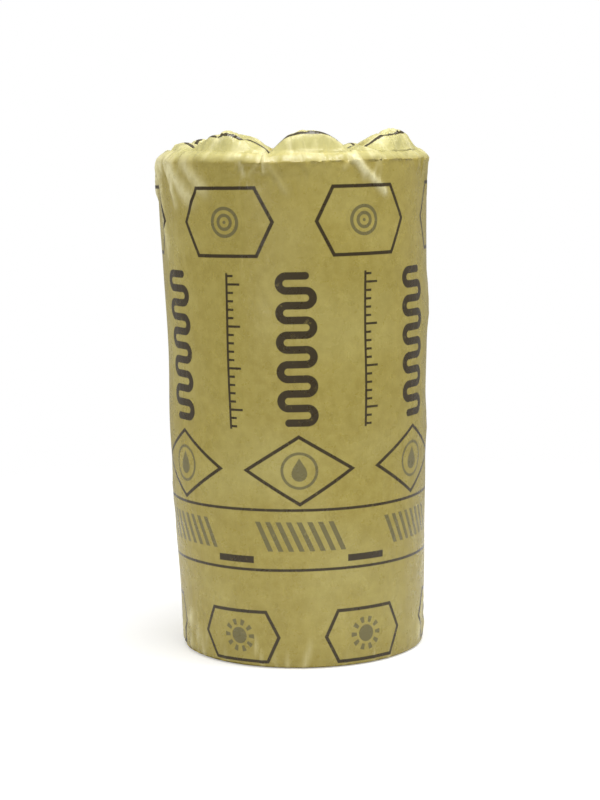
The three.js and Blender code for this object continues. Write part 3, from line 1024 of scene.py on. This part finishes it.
def film_material():
    material, tree, shader = new_material("printed_film", {"IOR": 1.5, "Specular IOR Level": 0.5})
    on_film = add_node(tree, "ShaderNodeUVMap", uv_map="film").outputs[0]
    share, along, _ = parts_of(tree, on_film)
    place = object_place(tree)
    air_and_top_highlight, bent = attribute(tree, "air_and_top_highlight"), attribute(tree, "bent")
    dark_ink, grey_ink = film_print(tree, share, along)

    # Where the film stands off, it is crumpled into long facets, and stress turns their creases white.
    long_facets = creases(tree, on_film, 64.0, 11.0)
    short_facets = creases(tree, on_film, 150.0, 40.0)
    whitened = product(tree, air_and_top_highlight, ramp(tree, long_facets, 0.45, 0.85), 0.55)
    whitened = maximum(tree, whitened, product(tree, bent, ramp(tree, short_facets, 0.2, 0.8, 0.55, 0.85)))

    # The wool shows through where the film touches it, and the film looks milky where it stands off. It is
    # also painted pale over the top rim's bevel and the top end, as a highlight of the light from above.
    _, clumped = mottled(tree, place, 38.0, 5.0, 0.65, 0.36, 0.64)
    _, patched = mottled(tree, place, 4.0, 2.0, 0.5, 0.5, 0.75, 0.0, 0.2)
    grain, grainy = mottled(tree, place, 240.0, 3.0, 0.7, 0.55, 0.8, 0.0, 0.2)
    from_weld = product(tree, calc(tree, "PINGPONG", share, 0.5), FILM_CUT[0])
    lap = inside(tree, from_weld, SEAM_HALF_WIDTH)
    lap_edge = stroke(tree, less(tree, from_weld, SEAM_HALF_WIDTH), LAP_EDGE)
    metres = stretched(tree, on_film, 2.05, 1.0)
    _, wear = mottled(tree, metres, 55.0, 5.0, 0.75, 0.25, 0.42, 0.6, 1.0)
    layers = [
        (clumped, FILM_ON_WOOL),
        (patched, FILM_OFF_WOOL),
        # Painted highlight: this milky colour also covers the top rim's bevel and the top end, as light
        # from above.
        (product(tree, air_and_top_highlight, 0.9), FILM_OFF_WOOL),
        (grainy, FILM_OFF_WOOL),
        (whitened, FILM_WHITENED),
        (product(tree, lap, 0.3), FILM_OFF_WOOL),
        (product(tree, lap_edge, 0.4), INK),
        (product(tree, grey_ink, wear, 0.88), GREY_INK),
        (product(tree, dark_ink, wear, 0.98), INK),
    ]
    tree.links.new(layered(tree, FILM_ON_SHADE, layers), shader["Base Color"])

    # Finer lines run the way the film is drawn in.
    lines = speckle(tree, stretched(tree, on_film, 150.0, 9.0), 1.0, 4.0, 0.6)
    gathered = calc(tree, "ADD", air_and_top_highlight, 0.25)
    relief = calc(tree, "MULTIPLY_ADD", short_facets, 0.35, long_facets)
    relief = calc(tree, "MULTIPLY_ADD", relief, gathered, product(tree, lines, 0.4))
    relief = calc(tree, "MULTIPLY_ADD", grain, 0.08, relief)
    tree.links.new(bump(tree, relief, 0.6, 0.005), shader["Normal"])
    _, dull = mottled(tree, place, 30.0, 3.0, 0.6, 0.3, 0.7, 0.22, 0.38)
    tree.links.new(dull, shader["Roughness"])
    # The film is milky: less of what lies behind shows where ink or more film covers it.
    see_through = ramp(tree, air_and_top_highlight, 0.0, 1.0, 0.10, 0.52)
    bare = less(tree, 1.0, maximum(tree, dark_ink, product(tree, grey_ink, 0.8), whitened))
    tree.links.new(less(tree, 1.0, product(tree, see_through, bare)), shader["Alpha"])
    return material


film = new_object("printed_film_sleeve", film_mesh("printed_film_sleeve", *shaped_film()))
film.data.materials.append(film_material())
two_sides = film.modifiers.new("thickness", "SOLIDIFY")
two_sides.thickness = FILM_THICKNESS
two_sides.offset = -1
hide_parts("film_sleeve")
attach(film, "root")


# ---- Floor, light and camera ----
# A white studio: a pale floor that keeps the roll's soft shadow and fades out into a white world, with
# soft lamps above, in front and behind.

FLOOR_RADIUS = 3.2
FLOOR_SIDES = 64
FLOOR_FADE = (1.4, 3.0)  # between these radii it fades out into the white
FLOOR_GLOW = 0.3  # makes it white to the camera, and leaves the shadow
rim = [(math.sin(a), math.cos(a)) for a in np.linspace(0, 2 * math.pi, FLOOR_SIDES, endpoint=False)]
floor = new_object("floor", bpy.data.meshes.new("floor"))
floor.data.from_pydata([(FLOOR_RADIUS * x, -FLOOR_RADIUS * y, 0) for x, y in rim], [], [range(FLOOR_SIDES)])
PALE_FLOOR = {"Base Color": (0.86, 0.86, 0.86, 1), "Roughness": 0.9, "Emission Color": (1, 1, 1, 1)}
floor_paint, paint, floor_shader = new_material("pale_floor", PALE_FLOOR)
seen_by_camera = add_node(paint, "ShaderNodeLightPath").outputs["Is Camera Ray"]
paint.links.new(product(paint, seen_by_camera, FLOOR_GLOW), floor_shader["Emission Strength"])
x, y, _ = parts_of(paint, object_place(paint))
faded = ramp(paint, radius_of(paint, x, y), *FLOOR_FADE, 1.0, 0.0, smooth=True)
paint.links.new(faded, floor_shader["Alpha"])
floor.data.materials.append(floor_paint)

WORLD_LIGHT = 0.42  # the white world lights the roll this much, and looks white itself
world = bpy.data.worlds.new("studio")
bpy.context.scene.world = world
world.use_nodes = True
sky = world.node_tree
rays = add_node(sky, "ShaderNodeLightPath")
seen = maximum(sky, rays.outputs["Is Camera Ray"], rays.outputs["Is Transmission Ray"])
sky.links.new(ramp(sky, seen, 0.0, 1.0, WORLD_LIGHT, 1.0), sky.nodes["Background"].inputs["Strength"])
sky.nodes["Background"].inputs["Color"].default_value = (1, 1, 1, 1)


def area_lamp(name, place, aim, size, power):
    light = bpy.data.lights.new(name, "AREA")
    light.shape = "DISK"
    light.size = size
    light.energy = power
    lamp = new_object(name, light)
    lamp.location = place
    lamp.rotation_euler = (Vector(aim) - Vector(place)).to_track_quat("-Z", "Y").to_euler()
    return lamp


area_lamp("overhead", (0.35, -0.5, 4.4), (0, 0, 0), 2.4, 122)
area_lamp("window", (-1.9, -3.6, 1.0), (0, 0, 0.6), 0.7, 6)
high_right = area_lamp("high_right", (1.8, -0.7, 3.0), (0.1, 0, 1.2), 1.2, 22)
high_left = area_lamp("high_left", (-1.8, -0.9, 3.0), (-0.1, 0, 1.2), 1.2, 10)
back_right = area_lamp("back_right", (3.4, 2.2, 0.9), (0, 0, 0.6), 1.6, 24)
front_fill = area_lamp("front_fill", (-0.25, -4.9, 0.7), (0, 0, 0.5), 3.0, 42)
back_left = area_lamp("back_left", (-3.6, 2.0, 1.2), (0, 0, 0.8), 1.6, 52)
for lamp in (high_right, high_left, front_fill, back_left, back_right):
    lamp.visible_glossy = False

# The camera stands 5 m in front of the roll, a little above its top, and is tilted slightly to one side.
CAMERA_LENS = 89.55
CAMERA_DISTANCE = 5.0
CAMERA_HEIGHT = 1.28
CAMERA_PITCH = math.radians(90 - 7.55)
CAMERA_YAW = math.radians(-0.06)
CAMERA_ROLL = math.radians(-1.135)
camera = new_object("camera", bpy.data.cameras.new("camera"))
camera.data.lens = CAMERA_LENS
camera.data.sensor_width = 36
turned = Matrix.Rotation(CAMERA_YAW, 4, "Z") @ Matrix.Rotation(CAMERA_PITCH, 4, "X")
turned = turned @ Matrix.Rotation(CAMERA_ROLL, 4, "Z")
camera.matrix_world = Matrix.Translation((0, -CAMERA_DISTANCE, CAMERA_HEIGHT)) @ turned
bpy.context.scene.camera = camera
bpy.context.scene.view_settings.view_transform = "Standard"
